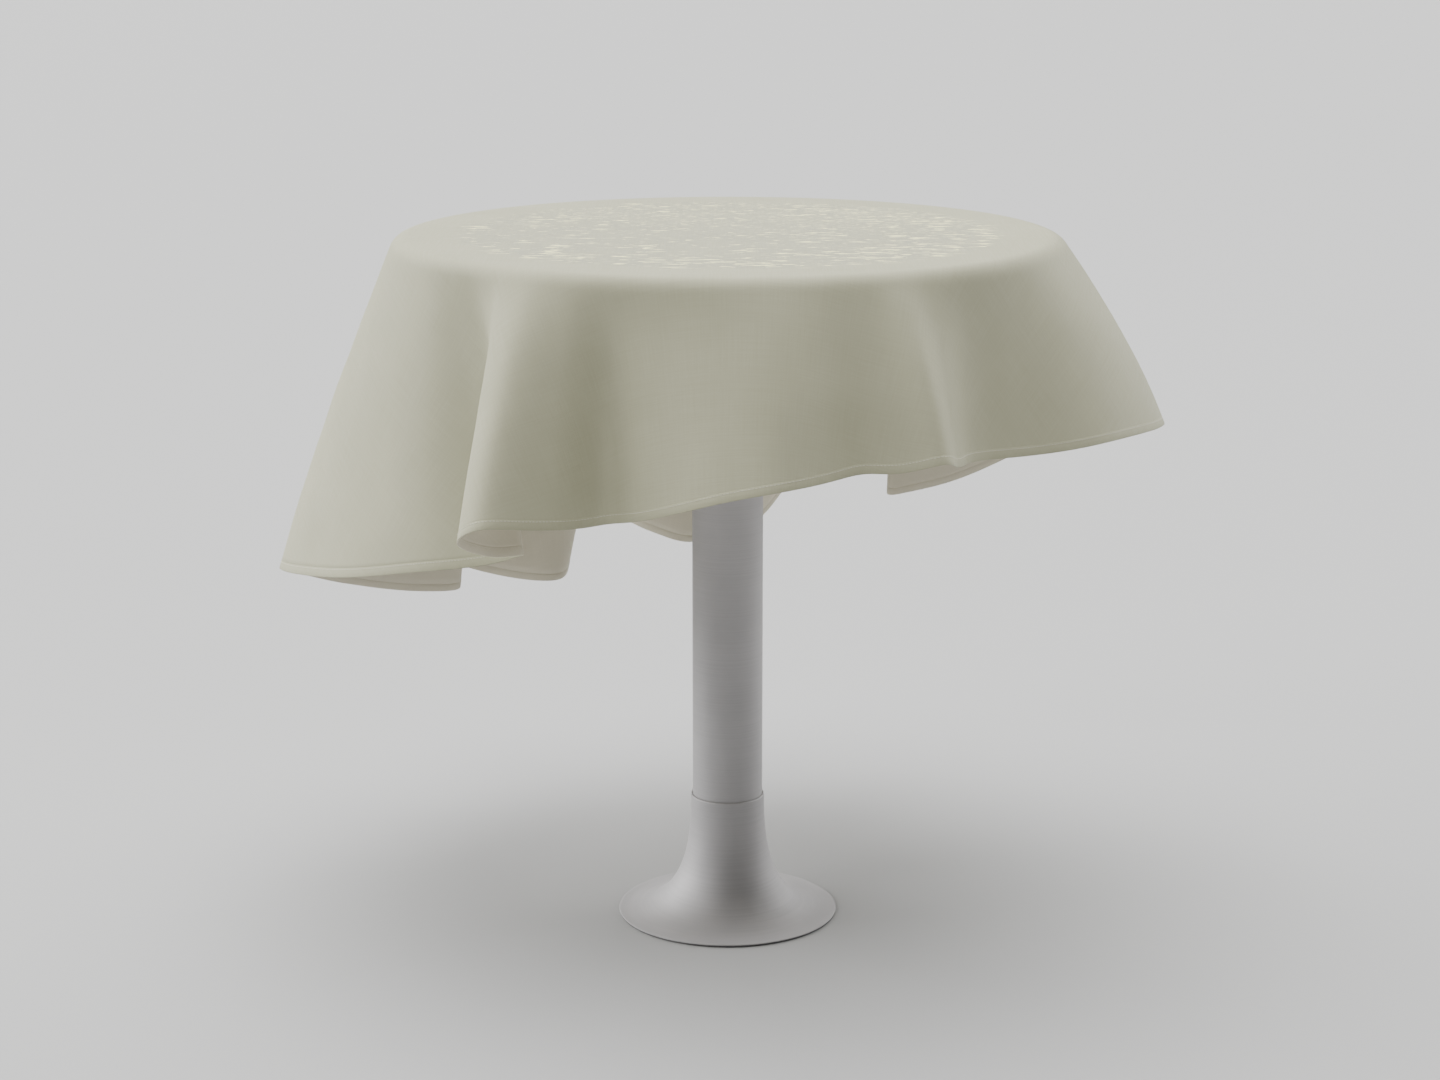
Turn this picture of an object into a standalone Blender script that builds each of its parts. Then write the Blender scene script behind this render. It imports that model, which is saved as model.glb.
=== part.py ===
"""Round cafe table, bolted to the floor, with a tablecloth laid on it a little off centre.

Units are metres, +Z is up, and the origin is on the floor at the column's axis.
The table stands on a floor flange hidden by a spun bell cover, which slides up the column.
A tie rod clamps the flange, the column and a four-armed spider together, and the spider's
screws hold the top.  The cloth is a round sheet whose skirt hangs in folds from the rim.
"""
from math import cos, pi, radians, sin, sqrt

import bmesh
import bpy
from mathutils import Matrix, Vector

# Overall sizes
TABLE_HEIGHT = 0.750
TOP_DIAMETER = 0.690
COLUMN_DIAMETER = 0.0762
CLOTH_DIAMETER = 1.370
CLOTH_SHIFT = Vector((-0.091, 0.116, 0.0))  # centre of the cloth, from the table's axis

# Clearances
GAP = 0.0003  # between pieces that touch
SKIRT_CLEARANCE = 0.003  # between the edge band and the hanging cloth

# Tabletop
CORE_THICKNESS = 0.025
LAMINATE_THICKNESS = 0.001
BAND_WIDTH = 0.016
BAND_ROUNDING = 0.011

# Column, and the castings at its two ends
COLUMN_WALL = 0.002
SPIGOT_HEIGHT = 0.020  # how far each casting reaches into the column
FLANGE_DIAMETER = 0.150
FLANGE_THICKNESS = 0.007
ANCHOR_INSET = 0.019  # from the flange's edge to the middle of an anchor hole
ANCHOR_HOLE = 0.010
ANCHOR_COUNT = 4
ROD_DIAMETER = 0.012
ROD_FLOOR = 0.003  # metal left under the rod's blind hole
ROD_END = 0.0015  # from the top of the nut to the end of the rod

# Spider under the top
HUB_SHOULDER = 0.008  # how far the hub stands outside the column
HUB_HEIGHT = 0.040
NUT_WELL_DIAMETER = 0.032
NUT_WELL_DEPTH = 0.016
ARM_COUNT = 4
ARM_REACH = 0.262  # from the axis to the end of an arm
ARM_WIDTH = 0.034
ARM_THICKNESS = 0.007
RIB_WIDTH = 0.007
RIB_TIP_HEIGHT = 0.003
WASHER_DIAMETER = 0.028
WASHER_THICKNESS = 0.0025
NUT_ACROSS_FLATS = 0.019
NUT_HEIGHT = 0.010
SCREW_RADII = (0.200, 0.243)  # the two screws of each arm, from the axis
SCREW_SHANK = 0.0044
SCREW_HEAD = 0.0095
SCREW_HEAD_HEIGHT = 0.003
SCREW_POINT = 0.004
SCREW_BITE = 0.015  # how far a screw enters the core

# Bell cover
BELL_HEIGHT = 0.135
BELL_MARGIN = 0.045  # how far the rim stands outside the flange
BELL_WALL = 0.001
LINER_WALL = 0.0005
LINER_CLEARANCE = 0.0004  # round the column, so that the cover slides
LINER_LENGTH = 0.022
LIP_RADIUS = 0.0018
FLARE_POWER = 2.6  # squareness of the bell's curve
FLARE_OVERRUN = 0.005  # how far outside the trimmed rim the curve would end
GASKET_WIDTH = 0.008
GASKET_THICKNESS = 0.0015

# Cloth
CLOTH_THICKNESS = 0.0015
EDGE_ROLL = 0.014  # how far before the rim the cloth begins to turn down
ROLL_SHARE = 0.3  # of EDGE_ROLL, the length that the rounded corner saves
SKIRT_BOW = 0.030  # outward bow of the hanging cloth, as a share of its length
HEM_WIDTH = 0.010

# The folds of the skirt, once round the table.  Each row is one line of the cloth, from the
# tabletop's rim to the hem: the angle where it leaves the rim and the angle where it ends
# (degrees from +X, with the front at -90), how far its hem stands outside the rim as a share
# of its length, and that length as a share of the flat cloth's overhang at that angle.
FOLDS = (
    (4, 6, 0.48, 1.00),  # right-hand crest
    (-12, -13, 0.48, 1.00),
    (-25, -28, 0.40, 1.00),
    (-38, -41, 0.19, 1.00),  # broad hollow, front right
    (-48, -51, 0.15, 0.995),
    (-57, -58, 0.33, 1.00),
    (-63, -63, 0.50, 1.005),  # narrow crest
    (-68, -68, 0.38, 0.985),
    (-73, -73, 0.33, 0.955),  # crease beside it
    (-82, -82, 0.45, 0.995),  # low crest at the front
    (-91, -91, 0.38, 0.985),
    (-101, -101, 0.22, 0.98),
    (-109, -108, 0.13, 0.955),  # deep hollow, front left
    (-116, -113, 0.31, 0.94),
    (-122, -119, 0.46, 0.94),  # crest of the lapped fold
    (-127, -124, 0.39, 0.95),
    (-131, -124, 0.22, 0.95),
    (-136, -122, 0.08, 0.94),  # its tucked layer
    (-141, -128, 0.08, 0.94),
    (-148, -139, 0.18, 0.93),
    (-158, -153, 0.25, 0.93),
    (-170, -169, 0.31, 0.93),
    (-182, -185, 0.36, 0.95),
    (-194, -197, 0.37, 0.98),  # wide left-hand lobe
    (-204, -208, 0.34, 1.013),
    (-214, -218, 0.28, 1.02),
    (-221, -226, 0.25, 1.02),
    (-226, -228, 0.31, 1.015),
    (-230, -226, 0.38, 1.00),
    (-235, -228, 0.41, 1.02),  # first lapped fold at the back
    (-241, -234, 0.34, 1.045),
    (-246, -240, 0.23, 1.03),
    (-251, -244, 0.22, 1.03),
    (-255, -246, 0.30, 1.02),
    (-258, -245, 0.41, 1.00),
    (-262, -249, 0.47, 1.00),  # second lapped fold at the back
    (-266, -254, 0.43, 1.045),
    (-270, -259, 0.32, 1.05),
    (-274, -265, 0.26, 1.06),  # hollow behind the column
    (-280, -274, 0.34, 1.07),
    (-286, -280, 0.47, 1.01),
    (-291, -286, 0.53, 1.00),
    (-296, -292, 0.49, 1.00),  # third lapped fold at the back
    (-300, -296, 0.39, 1.02),
    (-303, -295, 0.29, 1.06),
    (-308, -299, 0.25, 1.07),
    (-314, -308, 0.29, 1.05),
    (-320, -317, 0.45, 1.02),
    (-326, -324, 0.58, 1.00),  # crest, back right
    (-332, -331, 0.54, 1.00),
    (-338, -336, 0.37, 1.00),
    (-347, -344, 0.35, 1.00),
)

# Fineness of the meshes
ROUND_STEPS = 40
TOP_STEPS = 64
SMALL_STEPS = 12
CORNER_STEPS = 4
FLARE_STEPS = 10
ROLL_RINGS = 3
SKIRT_COLUMNS = 2  # to each row of FOLDS
SKIRT_RINGS = 6

# Heights and radii that follow from the sizes above
top_radius = TOP_DIAMETER / 2
column_radius = COLUMN_DIAMETER / 2
laminate_bottom = TABLE_HEIGHT - LAMINATE_THICKNESS
core_top = laminate_bottom - GAP
core_bottom = core_top - CORE_THICKNESS
backing_top = core_bottom - GAP
backing_bottom = backing_top - LAMINATE_THICKNESS
board_radius = top_radius - BAND_WIDTH - GAP
spider_top = backing_bottom - GAP
shoulder = spider_top - HUB_HEIGHT  # underside of the hub, on the column's upper end
spigot_radius = column_radius - COLUMN_WALL - GAP
hub_radius = column_radius + HUB_SHOULDER
anchor_radius = FLANGE_DIAMETER / 2 - ANCHOR_INSET
flange_boss_top = FLANGE_THICKNESS + SPIGOT_HEIGHT
column_bottom = FLANGE_THICKNESS + GAP
column_top = shoulder - GAP
well_floor = spider_top - NUT_WELL_DEPTH
washer_bottom = well_floor + GAP
nut_bottom = washer_bottom + WASHER_THICKNESS + GAP
rod_bottom = ROD_FLOOR + GAP
rod_top = nut_bottom + NUT_HEIGHT + ROD_END
rod_hole_radius = ROD_DIAMETER / 2 + GAP
arm_bottom = spider_top - ARM_THICKNESS
screw_top = core_bottom + SCREW_BITE
liner_inner = column_radius + LINER_CLEARANCE
liner_outer = liner_inner + LINER_WALL
neck_radius = liner_outer + GAP + BELL_WALL
rim_radius = FLANGE_DIAMETER / 2 + BELL_MARGIN
rim_level = GASKET_THICKNESS + GAP + BELL_WALL
neck_level = BELL_HEIGHT - LIP_RADIUS
cloth_level = TABLE_HEIGHT + GAP
skirt_radius = top_radius + SKIRT_CLEARANCE

for leftover in list(bpy.data.objects):
    bpy.data.objects.remove(leftover)

pieces = bpy.data.collections.new("cafe_table_with_cloth")
cutters = bpy.data.collections.new("cutters")
bpy.context.scene.collection.children.link(pieces)
bpy.context.scene.collection.children.link(cutters)


# Helpers

def material(name, color, roughness, metallic):
    made = bpy.data.materials.new(name)
    made.use_nodes = True
    shader = made.node_tree.nodes["Principled BSDF"]
    shader.inputs["Base Color"].default_value = (*color, 1.0)
    shader.inputs["Roughness"].default_value = roughness
    shader.inputs["Metallic"].default_value = metallic
    return made


def add_object(name, bm, finish=None, collection=pieces):
    """Make an object of a bmesh, and free the bmesh."""
    mesh = bpy.data.meshes.new(name)
    bm.to_mesh(mesh)
    bm.free()
    obj = bpy.data.objects.new(name, mesh)
    collection.objects.link(obj)
    if finish:
        mesh.materials.append(finish)
    return obj


def smooth(obj, angle=35):
    obj.data.shade_smooth()
    obj.data.set_sharp_from_angle(angle=radians(angle))
    return obj


def cylinder(bm, radius, bottom, top, steps, centre=(0.0, 0.0)):
    """Add an upright closed cylinder to a bmesh."""
    place = Matrix.Translation((*centre, (bottom + top) / 2))
    bmesh.ops.create_cone(
        bm, cap_ends=True, segments=steps, radius1=radius, radius2=radius,
        depth=top - bottom, matrix=place,
    )


def box(bm, low, high):
    """Add a box between two corners to a bmesh, and return its corners."""
    low, high = Vector(low), Vector(high)
    place = Matrix.Translation((low + high) / 2) @ Matrix.Diagonal((*(high - low), 1.0))
    return bmesh.ops.create_cube(bm, size=1.0, matrix=place)["verts"]


def turned(name, profile, finish, steps=ROUND_STEPS, closed=True):
    """Turn a profile of (radius, height) points, which runs down its outer side, about Z."""
    bm = bmesh.new()
    corners = [bm.verts.new((radius, 0.0, height)) for radius, height in profile]
    for first, second in zip(corners, corners[1:]):
        bm.edges.new((first, second))
    if closed:
        bm.edges.new((corners[-1], corners[0]))
    obj = add_object(name, bm, finish)
    screw = obj.modifiers.new("Turn", "SCREW")
    screw.axis = "Z"
    screw.steps = screw.render_steps = steps
    screw.use_merge_vertices = True
    screw.merge_threshold = 0.00001
    screw.use_smooth_shade = True
    return obj


def ring(name, inner, outer, bottom, top, finish, steps=ROUND_STEPS):
    profile = ((outer, top), (outer, bottom), (inner, bottom), (inner, top))
    return turned(name, profile, finish, steps)


def disc(name, radius, bottom, top, finish, steps=TOP_STEPS):
    bm = bmesh.new()
    cylinder(bm, radius, bottom, top, steps)
    return add_object(name, bm, finish)


def cutter(name, bm):
    obj = add_object(name, bm, collection=cutters)
    obj.hide_render = True
    obj.display_type = "WIRE"
    return obj


def combine(obj, other, operation):
    boolean = obj.modifiers.new(operation.title(), "BOOLEAN")
    boolean.operation = operation
    boolean.solver = "EXACT"
    boolean.object = other


def arm_angles():
    return [2 * pi * (k + 0.5) / ARM_COUNT for k in range(ARM_COUNT)]


def screw_places():
    return [Vector((cos(a), sin(a), 0.0)) * r for a in arm_angles() for r in SCREW_RADII]


# Finishes

satin_steel = material("satin_steel", (0.36, 0.355, 0.36), 0.38, 1.0)
black_casting = material("black_casting", (0.03, 0.03, 0.032), 0.6, 0.4)
zinc = material("zinc", (0.62, 0.62, 0.58), 0.35, 1.0)
chipboard = material("chipboard", (0.52, 0.38, 0.22), 0.85, 0.0)
pale_laminate = material("pale_laminate", (0.80, 0.79, 0.74), 0.35, 0.0)
backing_sheet = material("backing_sheet", (0.24, 0.20, 0.16), 0.6, 0.0)
beech_band = material("beech_band", (0.55, 0.38, 0.22), 0.45, 0.0)
nylon = material("nylon", (0.75, 0.75, 0.72), 0.5, 0.0)
grey_rubber = material("grey_rubber", (0.10, 0.10, 0.10), 0.8, 0.0)
cream_cloth = material("cream_cloth", (0.62, 0.61, 0.50), 0.9, 0.0)
cream_hem = material("cream_hem", (0.58, 0.57, 0.46), 0.9, 0.0)


# Shared cutters

def screw_holes():
    """Clearance holes for every screw, through the arms, the backing and into the core."""
    bm = bmesh.new()
    for place in screw_places():
        radius = SCREW_SHANK / 2 + GAP
        cylinder(bm, radius, arm_bottom - GAP, screw_top + GAP, SMALL_STEPS, place.xy)
    return cutter("screw_hole_cutter", bm)


# Table

def make_flange():
    bm = bmesh.new()
    cylinder(bm, FLANGE_DIAMETER / 2, 0.0, FLANGE_THICKNESS, ROUND_STEPS)
    flange = add_object("floor_flange", bm, black_casting)
    bm = bmesh.new()
    cylinder(bm, spigot_radius, FLANGE_THICKNESS / 2, flange_boss_top, ROUND_STEPS)
    combine(flange, cutter("flange_boss", bm), "UNION")
    bm = bmesh.new()
    cylinder(bm, rod_hole_radius, ROD_FLOOR, flange_boss_top + GAP, SMALL_STEPS * 2)
    for k in range(ANCHOR_COUNT):
        angle = 2 * pi * k / ANCHOR_COUNT
        centre = (cos(angle) * anchor_radius, sin(angle) * anchor_radius)
        cylinder(bm, ANCHOR_HOLE / 2, -GAP, FLANGE_THICKNESS + GAP, SMALL_STEPS * 2, centre)
    combine(flange, cutter("flange_holes", bm), "DIFFERENCE")


def make_column():
    inner = column_radius - COLUMN_WALL
    ring("column_tube", inner, column_radius, column_bottom, column_top, satin_steel)
    disc("tie_rod", ROD_DIAMETER / 2, rod_bottom, rod_top, zinc, SMALL_STEPS * 2)


def arm_with_rib(angle):
    """One arm of the spider: a flat bar under the top, with a rib that tapers outwards."""
    turn = Matrix.Rotation(angle, 4, "Z")
    start = hub_radius / 2
    bar = bmesh.new()
    half = ARM_WIDTH / 2
    box(bar, (start, -half, arm_bottom), (ARM_REACH, half, spider_top))
    bar.transform(turn)
    rib = bmesh.new()
    half = RIB_WIDTH / 2
    rib_end = min(SCREW_RADII) - SCREW_HEAD  # so that the screw heads stay clear
    corners = box(rib, (start, -half, shoulder), (rib_end, half, arm_bottom + ARM_THICKNESS / 2))
    for corner in corners:
        if corner.co.x > start + GAP and corner.co.z < arm_bottom:
            corner.co.z = arm_bottom - RIB_TIP_HEIGHT
    rib.transform(turn)
    return bar, rib


def make_spider(holes):
    bm = bmesh.new()
    cylinder(bm, hub_radius, shoulder, spider_top, ROUND_STEPS)
    spider = add_object("spider", bm, black_casting)
    bm = bmesh.new()
    cylinder(bm, spigot_radius, shoulder - SPIGOT_HEIGHT, shoulder + GAP * 2, ROUND_STEPS)
    combine(spider, cutter("spider_spigot", bm), "UNION")
    for number, angle in enumerate(arm_angles(), 1):
        bar, rib = arm_with_rib(angle)
        combine(spider, cutter(f"arm_bar_{number}", bar), "UNION")
        combine(spider, cutter(f"arm_rib_{number}", rib), "UNION")
    bm = bmesh.new()
    bore_bottom = shoulder - SPIGOT_HEIGHT - GAP
    cylinder(bm, rod_hole_radius, bore_bottom, spider_top, SMALL_STEPS * 2)
    combine(spider, cutter("rod_bore", bm), "DIFFERENCE")
    bm = bmesh.new()
    cylinder(bm, NUT_WELL_DIAMETER / 2, well_floor, spider_top + GAP, SMALL_STEPS * 2)
    combine(spider, cutter("nut_well", bm), "DIFFERENCE")
    combine(spider, holes, "DIFFERENCE")


def make_nut_and_washer():
    steps = SMALL_STEPS * 2
    washer_top = washer_bottom + WASHER_THICKNESS
    ring("spider_washer", rod_hole_radius, WASHER_DIAMETER / 2, washer_bottom, washer_top,
         zinc, steps)
    bm = bmesh.new()
    cylinder(bm, NUT_ACROSS_FLATS / 2 / cos(pi / 6), nut_bottom, nut_bottom + NUT_HEIGHT, 6)
    nut = add_object("spider_nut", bm, zinc)
    bm = bmesh.new()
    cylinder(bm, rod_hole_radius, nut_bottom - GAP, nut_bottom + NUT_HEIGHT + GAP, steps)
    combine(nut, cutter("nut_bore", bm), "DIFFERENCE")


def make_screws():
    """Pan-head screws, driven up through the arms into the core."""
    seat = arm_bottom - GAP
    head_bottom = seat - SCREW_HEAD_HEIGHT
    shank = SCREW_SHANK / 2
    head = SCREW_HEAD / 2
    profile = (
        (0.0, screw_top), (shank, screw_top - SCREW_POINT), (shank, seat), (head, seat),
        (head, head_bottom + SCREW_HEAD_HEIGHT / 2), (head * 0.7, head_bottom),
        (0.0, head_bottom),
    )
    for number, place in enumerate(screw_places(), 1):
        name = f"spider_screw_{number}"
        screw = turned(name, profile, zinc, SMALL_STEPS, closed=False)
        screw.location = place


def make_top(holes):
    disc("top_laminate", board_radius, laminate_bottom, TABLE_HEIGHT, pale_laminate)
    core = disc("tabletop_core", board_radius, core_bottom, core_top, chipboard)
    combine(core, holes, "DIFFERENCE")
    backing = disc("backing_laminate", board_radius, backing_bottom, backing_top, backing_sheet)
    combine(backing, holes, "DIFFERENCE")
    profile = []
    for corner, start in ((TABLE_HEIGHT - BAND_ROUNDING, 90), (backing_bottom + BAND_ROUNDING, 0)):
        for k in range(CORNER_STEPS + 1):
            angle = radians(start - 90 * k / CORNER_STEPS)
            radius = top_radius - BAND_ROUNDING + BAND_ROUNDING * cos(angle)
            profile.append((radius, corner + BAND_ROUNDING * sin(angle)))
    inner = top_radius - BAND_WIDTH
    profile += [(inner, backing_bottom), (inner, TABLE_HEIGHT)]
    turned("edge_band", profile, beech_band, TOP_STEPS)


# Cover

def bell_outline():
    """Outer line of the bell: a rolled lip, then a quarter superellipse down to the rim."""
    outline = []
    for k in range(CORNER_STEPS + 1):
        angle = pi / 2 * (1 - k / CORNER_STEPS)
        radius = neck_radius - LIP_RADIUS + LIP_RADIUS * cos(angle)
        outline.append((radius, neck_level + LIP_RADIUS * sin(angle)))
    spread = rim_radius + FLARE_OVERRUN - neck_radius
    trim = (FLARE_OVERRUN / spread) ** FLARE_POWER
    height = neck_level - rim_level
    for k in range(1, FLARE_STEPS + 1):
        turn = pi / 2 * k / FLARE_STEPS
        across = (1 - cos(turn)) * (rim_radius - neck_radius)
        share = 1 - across / spread
        down = (1 - share ** FLARE_POWER) ** (1 / FLARE_POWER)
        full = (1 - trim) ** (1 / FLARE_POWER)
        outline.append((neck_radius + across, neck_level - height * down / full))
    return outline


def make_cover():
    bell = turned("bell_cover", bell_outline(), satin_steel, closed=False)
    wall = bell.modifiers.new("Wall", "SOLIDIFY")
    wall.thickness = BELL_WALL
    wall.offset = -1.0
    wall.use_even_offset = True
    liner_top = neck_level - LIP_RADIUS
    ring("neck_liner", liner_inner, liner_outer, liner_top - LINER_LENGTH, liner_top, nylon)
    outer = rim_radius - GAP
    ring("rim_gasket", outer - GASKET_WIDTH, outer, 0.0, GASKET_THICKNESS, grey_rubber)


# Cloth

def overhang(angle):
    """Length of the flat cloth past the tabletop's rim at an angle."""
    out = Vector((cos(angle), sin(angle), 0.0))
    across = CLOTH_SHIFT.x * out.y - CLOTH_SHIFT.y * out.x
    return CLOTH_SHIFT.dot(out) + sqrt((CLOTH_DIAMETER / 2) ** 2 - across ** 2) - top_radius


def fold_row(index):
    turns, place = divmod(index, len(FOLDS))
    rim, hem, flare, ease = FOLDS[place]
    return rim - 360 * turns, hem - 360 * turns, flare, ease


def fold_between(position):
    """A row of FOLDS at a fractional position, on a smooth curve through the rows."""
    index = int(position)
    t = position - index
    mixed = []
    for a, b, c, d in zip(*(fold_row(index + k) for k in (-1, 0, 1, 2))):
        cubic = (3 * b - a - 3 * c + d) * t ** 3 + (2 * a - 5 * b + 4 * c - d) * t ** 2
        mixed.append((cubic + (c - a) * t + 2 * b) / 2)
    return mixed


def skirt_line(position):
    """Corner at the rim, hem point, outward direction and length of one line of the skirt."""
    rim, hem, flare, ease = fold_between(position)
    rim, hem = radians(rim), radians(hem)
    corner = Vector((skirt_radius * cos(rim), skirt_radius * sin(rim), cloth_level))
    length = overhang(rim) * ease - ROLL_SHARE * EDGE_ROLL
    radius = skirt_radius + flare * length
    end = Vector((radius * cos(hem), radius * sin(hem), cloth_level))
    run = (end - corner).length
    end.z -= sqrt(length ** 2 - run ** 2)
    middle = (rim + hem) / 2
    return corner, end, Vector((cos(middle), sin(middle), 0.0)), length


def skirt_point(position, share):
    """Point of the hanging cloth, from share 0 at the end of the roll to 1 at the hem."""
    corner, end, outward, length = skirt_line(position)
    start = corner + (end - corner).normalized() * EDGE_ROLL
    bow = outward * SKIRT_BOW * length * 4 * share * (1 - share)
    return start.lerp(end, share) + bow


def roll_point(position, share):
    """Point of the rounded corner, from share 0 on the flat top to 1 where the skirt begins."""
    corner = skirt_line(position)[0]
    inner = corner - Vector((corner.x, corner.y, 0.0)).normalized() * EDGE_ROLL
    outer = skirt_point(position, 0.0)
    return inner.lerp(corner, share).lerp(corner.lerp(outer, share), share)


def hem_share(position, distance):
    """Share along a line of the skirt that lies a distance above its hem."""
    return 1 - distance / (skirt_line(position)[3] - EDGE_ROLL)


def sheet_between(bm, rings):
    """Join rings of points, each once round the cloth, with faces that look outwards."""
    rows = [[bm.verts.new(point) for point in ring_points] for ring_points in rings]
    for upper, lower in zip(rows, rows[1:]):
        for k in range(len(upper)):
            bm.faces.new((upper[k - 1], upper[k], lower[k], lower[k - 1]))
    return rows


def thicken(obj):
    wall = obj.modifiers.new("Cloth", "SOLIDIFY")
    wall.thickness = CLOTH_THICKNESS
    wall.offset = 1.0
    wall.use_even_offset = True
    return smooth(obj, 60)


def make_cloth():
    count = len(FOLDS) * SKIRT_COLUMNS
    positions = [k / SKIRT_COLUMNS for k in range(count)]
    rings = [[roll_point(p, k / ROLL_RINGS) for p in positions] for k in range(ROLL_RINGS)]
    for k in range(SKIRT_RINGS + 1):
        share = k / SKIRT_RINGS
        rings.append([skirt_point(p, share * hem_share(p, HEM_WIDTH + GAP)) for p in positions])
    bm = bmesh.new()
    rows = sheet_between(bm, rings)
    bm.faces.new(reversed(rows[0]))
    bm.normal_update()
    thicken(add_object("tablecloth", bm, cream_cloth))

    bm = bmesh.new()
    sheet_between(bm, [
        [skirt_point(p, hem_share(p, HEM_WIDTH)) for p in positions],
        [skirt_point(p, 1.0) for p in positions],
    ])
    bm.normal_update()
    thicken(add_object("hem_band", bm, cream_hem))


shared_holes = screw_holes()
make_flange()
make_column()
make_spider(shared_holes)
make_nut_and_washer()
make_screws()
make_top(shared_holes)
make_cover()
make_cloth()
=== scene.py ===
from math import cos, pi, radians, sin, sqrt

import bpy
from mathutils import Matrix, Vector, noise


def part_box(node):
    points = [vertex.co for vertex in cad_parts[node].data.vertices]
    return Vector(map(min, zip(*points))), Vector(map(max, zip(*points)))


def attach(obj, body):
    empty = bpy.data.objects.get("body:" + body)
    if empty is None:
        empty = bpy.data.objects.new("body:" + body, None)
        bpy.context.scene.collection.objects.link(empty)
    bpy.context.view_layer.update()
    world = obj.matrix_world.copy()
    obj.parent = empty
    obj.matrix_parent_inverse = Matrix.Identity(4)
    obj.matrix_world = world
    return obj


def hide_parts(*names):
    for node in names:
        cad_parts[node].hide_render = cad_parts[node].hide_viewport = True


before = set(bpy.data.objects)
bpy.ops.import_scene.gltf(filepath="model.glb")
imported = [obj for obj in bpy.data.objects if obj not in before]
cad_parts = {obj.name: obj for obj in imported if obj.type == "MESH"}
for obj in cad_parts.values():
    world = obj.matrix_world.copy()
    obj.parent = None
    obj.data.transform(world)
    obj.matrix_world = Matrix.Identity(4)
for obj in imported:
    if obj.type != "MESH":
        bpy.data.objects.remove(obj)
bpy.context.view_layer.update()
print("frame loaded:", len(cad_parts), "nodes")

# where the table is, read from the frame
bandLow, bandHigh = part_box("edge_band")
topRadius = (bandHigh.x - bandLow.x) / 2
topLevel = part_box("top_laminate")[1].z

clothSettings = dict(
    diameter=1.37,          # flat cloth
    shift=Vector((-0.091, 0.116, 0.0)),   # its centre, from the table's axis
    lift=0.0006,            # under the cloth, above the laminate
    stand=0.0033,           # hanging cloth outside the edge band
    thickness=0.0009,
    roll=0.014,             # rounded corner over the rim
    rollSaves=0.3,          # share of the roll that the corner saves
    bow=0.030,              # outward bow of the skirt, share of its length
    crestBow=0.16,          # more bow on crests and less in hollows, by how far they flare
    evenFlare=0.46,
    ripple=0.0016,          # soft unevenness of the hanging cloth
    rippleSize=0.11,
    fineRipple=2.3,         # a second ripple, this much finer
    fineShare=0.4,          # and this strong beside the first
    rippleRise=3,           # how soon the ripple starts below the rim
    rollTakes=1.6,          # flat cloth that the rounded corner takes, in roll lengths
    columnsPerRow=9,
    skirtRings=34,
    rollRings=6,
    topRings=12,
    topCrowding=0.7,        # rings of the top crowd towards the rim
)

hemSettings = dict(
    width=0.010,
    thickness=0.0012,
    lap=0.0055,             # how far the sheet reaches inside it
    stitchAt=0.0082,        # line of stitches above the edge
    stitchLength=0.0026,
    stitchPitch=0.0034,
    thread=0.00022,         # radius of the thread
    threadSides=5,
    threadSwell=((-0.5, 0.5), (-0.3, 1.0), (0.3, 1.0), (0.5, 0.5)),  # along a stitch, thickness
    framesPerRow=16,        # how closely the stitches follow the hem
)

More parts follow.
